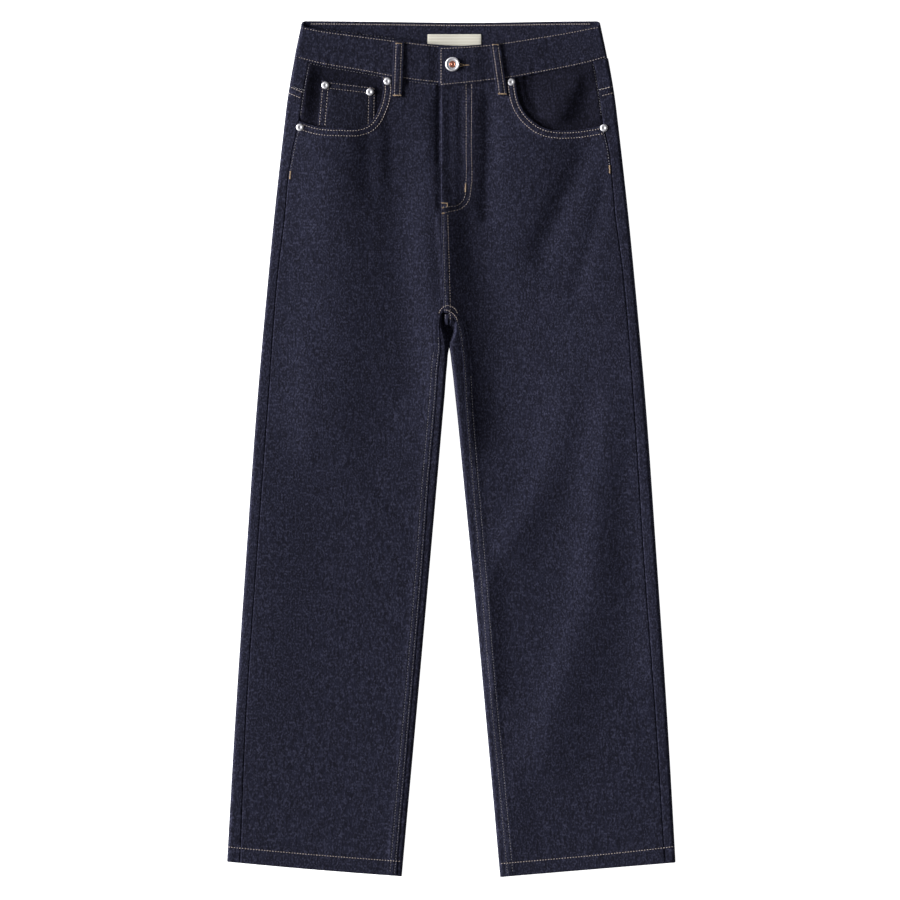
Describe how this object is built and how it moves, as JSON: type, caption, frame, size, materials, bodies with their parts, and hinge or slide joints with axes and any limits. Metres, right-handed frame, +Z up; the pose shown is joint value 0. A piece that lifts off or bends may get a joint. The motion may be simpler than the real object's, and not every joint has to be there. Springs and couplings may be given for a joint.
{
  "type": "straight leg jeans",
  "caption": "Straight leg denim jeans laid flat, front up, with a buttoned waistband, belt loops, curved front pockets and a coin pocket.",
  "frame": {"origin": "on the surface the jeans lie on, under the centre of their outline", "axes": "+Y along the legs towards the waist, +X to the wearer's left, +Z up off the surface, out of the front"},
  "size_m": [0.5374, 1.0237, 0.015],
  "materials": {
    "denim": "dark rinsed indigo twill",
    "nickel": "satin plated",
    "copper": "satin copper",
    "woven_label": "smooth woven cream"
  },
  "bodies": {
    "root": {"back_left": "denim", "back_pocket_left": "denim", "back_pocket_right": "denim", "back_right": "denim", "belt_loop_back_centre": "denim", "belt_loop_back_left": "denim", "belt_loop_back_right": "denim", "belt_loop_front_left": "denim", "belt_loop_front_right": "denim", "coin_pocket": "denim", "front_left": "denim", "front_right": "denim", "pocket_facing_left": "denim", "pocket_facing_right": "denim", "waistband": "denim", "yoke_left": "denim", "yoke_right": "denim", "rivet_pocket_right_inner": "nickel", "rivet_pocket_right_outer": "nickel", "rivet_coin_outer": "nickel", "rivet_coin_inner": "nickel", "rivet_pocket_left_inner": "nickel", "rivet_pocket_left_outer": "nickel", "waist_button": "nickel", "button_centre": "copper", "waist_label": "woven_label"}
  },
  "joints": []
}
